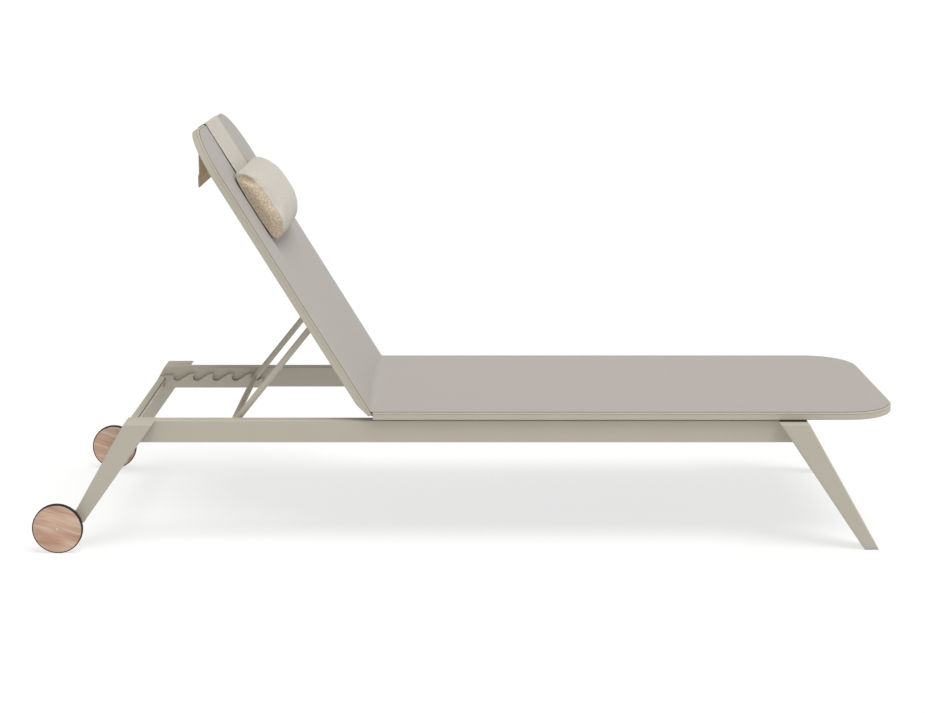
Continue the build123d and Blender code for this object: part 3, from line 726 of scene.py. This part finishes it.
def ribbon(name, line, normals):
    """A cloth band along a line of points, with a slightly raised hem at each edge."""
    points, uvs = [], []
    along = 0.0
    crowd = pi / 2 * 0.999                      # columns stand closer together at the edges
    for i, (point, normal) in enumerate(zip(line, normals)):
        if i:
            along += (point - line[i - 1]).length
        for j in range(STRAP_COLUMNS):
            t = 2 * j / (STRAP_COLUMNS - 1) - 1
            y = STRAP_HALF * sin(crowd * t) / sin(crowd)
            edge = STRAP_HALF - abs(y)
            raised = HEM_PROUD * smooth((HEM - edge) / (2 * MM))
            groove = STITCH_DEEP * max(0.0, 1 - abs(edge - HEM) / STITCH_HALF)
            points.append(Vector((point.x, y, point.z)) + normal * (raised - groove))
            uvs.append((along, y))
    obj = new_piece(name, points, grid_faces(len(line), STRAP_COLUMNS), uvs)
    shell = solidify(obj, STRAP_THICK, offset=0.0)
    # the back shell takes the strap cloth's copy with painted shade
    shell.material_offset = 1
    obj.data.materials.append(strap_cloth)
    obj.data.materials.append(strap_painted_shade)
    return obj


def rounded(corners, radius, steps=8):
    """An open line through corner points (along, out) with each inner corner rounded."""
    line = [Vector(corners[0])]
    for before, at, after in zip(corners, corners[1:], corners[2:]):
        at = Vector(at)
        into = (Vector(before) - at).normalized()
        away = (Vector(after) - at).normalized()
        half = into.angle(away) / 2
        reach = radius / tan(half)
        centre = at + (into + away).normalized() * radius / sin(half)
        first, last = at + into * reach - centre, at + away * reach - centre
        for i in range(steps + 1):
            t = i / steps
            line.append(centre + first.lerp(last, t).normalized() * radius)
    line.append(Vector(corners[-1]))
    return line


def strap_line():
    """The strap's middle line from under the pillow, tight round the top edge, to the drop's top."""
    top = float(STRAP_HIGH[2]) - STRAP_THICK / 2
    end = BACK_LENGTH + EDGE_GAP
    fall = Vector((DROP_X, 0, DROP_TOP)) - HINGE
    low_s, low_n = fall.dot(UP), fall.dot(FRONT)
    turn_n = low_n + (end - low_s) * FRONT.z / UP.z
    corners = [(float(STRAP_LOW[0]), top), (end, top), (end, turn_n), (low_s, low_n)]
    bent = rounded(corners, TURN_RADIUS)
    spans = 27
    spread = [bent[0].lerp(bent[1], i / spans) for i in range(spans)] + bent[1:]
    line = [on_back(s, 0, n) for s, n in spread]
    normals = []
    for i in range(len(line)):
        ahead = (line[min(i + 1, len(line) - 1)] - line[max(i - 1, 0)]).normalized()
        normals.append(Vector((0, 1, 0)).cross(ahead).normalized())
    return line, normals


def make_strap():
    """The band over the backrest's top, from under the pillow."""
    line, normals = strap_line()
    obj = ribbon("strap", line, normals)
    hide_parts("headrest_strap")
    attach(obj, "backrest")


def make_drop():
    """The strap's hanging end. It shortens as the pillow is drawn down and the pocket rises."""
    low = POCKET_HIGH.z - 2 * MM
    length = DROP_TOP - low
    rows = 40
    line = [Vector((DROP_X, 0, DROP_TOP - length * i / (rows - 1))) for i in range(rows)]
    normals = [Vector((-1, 0, 0))] * rows
    obj = ribbon("strap_drop_cloth", line, normals)
    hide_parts("strap_drop")
    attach(obj, "strap_end")
    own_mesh(obj)


def make_pocket():
    """Fabric pocket folded round the flat weight: rounded rim, stitched top, soft corners."""
    half_x = (DROP_HIGH.x - POCKET_LOW.x) / 2
    half_z = (POCKET_HIGH.z - POCKET_LOW.z) / 2
    mid_z = POCKET_LOW.z + half_z
    rows, columns = 24, 45
    points, uvs = [], []
    for i in range(rows):
        a = 2 * pi * i / rows
        for j in range(columns):
            t = 2 * j / (columns - 1) - 1
            y = STRAP_HALF * sin(pi / 2 * t)
            # a squarish section, thinner at both sides, pinched at the seam, closing at the top
            side = 1 - 0.55 * smooth((abs(y) - STRAP_HALF + 9 * MM) / (9 * MM))
            c = abs(cos(a)) ** 0.35 * (1 if cos(a) > 0 else -1)
            s = abs(sin(a)) ** 0.6 * (1 if sin(a) > 0 else -1)
            seam = 1 - 0.45 * max(0.0, 1 - abs(s - 0.78) / 0.12)
            narrow = 1 - 0.8 * smooth((s - 0.86) / 0.14)
            x = DROP_HIGH.x - half_x * narrow + half_x * c * side * seam * narrow
            points.append(Vector((x, y, mid_z + half_z * s)))
            uvs.append((i * 0.003, y))
    faces = []
    for i in range(rows):
        here, above = i * columns, (i + 1) % rows * columns
        for j in range(columns - 1):
            faces.append((here + j, here + j + 1, above + j + 1, above + j))
    faces.append(tuple(i * columns for i in range(rows)))
    faces.append(tuple(i * columns + columns - 1 for i in reversed(range(rows))))
    obj = new_piece("pocket", points, faces, uvs)
    solidify(obj, POCKET_THICK)
    obj.data.materials.append(strap_cloth)
    obj.data.materials.append(strap_painted_shade)
    # faces turned towards +X take the strap cloth's copy with painted shade
    for poly in obj.data.polygons:
        poly.material_index = 1 if poly.normal.x > 0.3 else 0
    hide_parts("weight_pocket")
    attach(obj, "counterweight")


# ---- wheels ---------------------------------------------------------------
# a stud's section from its foot in the hub cap to its crown: radius, height over the cap
STUD_SECTION = [(2.4 * MM, -0.4 * MM), (2.4 * MM, 0.25 * MM), (1.9 * MM, 0.5 * MM), (1.0 * MM, 0.6 * MM)]
STUD_SIDES = 24


def make_studs():
    """A small domed stud in the middle of each hub cap."""
    for side, name in ((1, "left"), (-1, "right")):
        low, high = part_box("hub_cap_" + name)
        middle = (low + high) / 2
        middle.y = high.y if side > 0 else low.y
        points = []
        for radius, proud in STUD_SECTION:
            for k in range(STUD_SIDES):
                a = 2 * pi * k / STUD_SIDES
                points.append(middle + Vector((cos(a) * radius, side * proud, sin(a) * radius)))
        faces = grid_faces(len(STUD_SECTION), STUD_SIDES, closed=True)
        faces.append(tuple((len(STUD_SECTION) - 1) * STUD_SIDES + k for k in range(STUD_SIDES)))
        stud = new_piece("stud_" + name, points, faces)
        stud.data.materials.append(nylon)
        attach(stud, "wheel_" + name)


# ---- floor, light and camera ----------------------------------------------
FLOOR_REACH = 80.0
FLOOR_GREY = (0.307, 0.307, 0.307, 1)           # what light adds to the floor: the depth of its shadows
FLOOR_GLOW = (1, 1.006, 1.016, 1)
FLOOR_GLOW_STRENGTH = 0.667
SKY = (1, 0.955, 0.88, 1)
SKY_STRENGTH = 0.55
SUN_STRENGTH = 2.25
SUN_WIDTH = radians(36)
SUN_TILT = Euler((radians(16), radians(15), 0))
CAMERA_PLACE = (-0.0098, -4.7127, 1.4064)
CAMERA_TILT = Euler((radians(77.905), 0, 0))


def make_floor():
    """A ground that is white in the light and soft grey in shadow."""
    reach = FLOOR_REACH
    corners = [(-reach, -reach, 0), (reach, -reach, 0), (reach, reach, 0), (-reach, reach, 0)]
    floor = new_piece("floor", corners, [(0, 1, 2, 3)], smooth_faces=False)
    m = Material("floor", Roughness=1.0)
    m.shader.inputs["Base Color"].default_value = FLOOR_GREY
    m.shader.inputs["Specular IOR Level"].default_value = 0.0
    m.shader.inputs["Emission Color"].default_value = FLOOR_GLOW
    m.shader.inputs["Emission Strength"].default_value = FLOOR_GLOW_STRENGTH
    floor.data.materials.append(m.data)


def make_sky():
    """A faintly warm light from all sides. Behind the floor the view itself is white."""
    world = bpy.data.worlds.new("studio")
    world.use_nodes = True
    bpy.context.scene.world = world
    tree = world.node_tree
    sky = tree.nodes["Background"]
    sky.inputs["Color"].default_value = SKY
    sky.inputs["Strength"].default_value = SKY_STRENGTH
    seen = tree.nodes.new("ShaderNodeBackground")
    seen.inputs["Color"].default_value = (1, 1, 1, 1)
    path = tree.nodes.new("ShaderNodeLightPath")
    choose = tree.nodes.new("ShaderNodeMixShader")
    tree.links.new(path.outputs["Is Camera Ray"], choose.inputs[0])
    tree.links.new(sky.outputs[0], choose.inputs[1])
    tree.links.new(seen.outputs[0], choose.inputs[2])
    tree.links.new(choose.outputs[0], tree.nodes["World Output"].inputs["Surface"])


def make_sun():
    """One wide lamp overhead, a little towards the foot end and the viewer."""
    sun = bpy.data.lights.new("overhead", "SUN")
    sun.energy = SUN_STRENGTH
    sun.angle = SUN_WIDTH
    lamp = bpy.data.objects.new("overhead", sun)
    lamp.rotation_euler = SUN_TILT
    bpy.context.scene.collection.objects.link(lamp)


def make_camera():
    """The view from the user's right, level across and looking a little down."""
    data = bpy.data.cameras.new("camera")
    data.lens = 73.92
    data.sensor_width = 36.0
    data.clip_end = 300.0
    camera = bpy.data.objects.new("camera", data)
    camera.location = CAMERA_PLACE
    camera.rotation_euler = CAMERA_TILT
    bpy.context.scene.collection.objects.link(camera)
    bpy.context.scene.camera = camera


bpy.context.scene.view_settings.view_transform = "Standard"
make_camera()
make_sky()
make_sun()
make_floor()
paint_frame()
make_sling()
pillow = pillow_shell()
swell_pillow(pillow)
soften_pillow(pillow)
finish_pillow(pillow)
make_seams(pillow)
make_strap()
make_drop()
make_pocket()
make_studs()
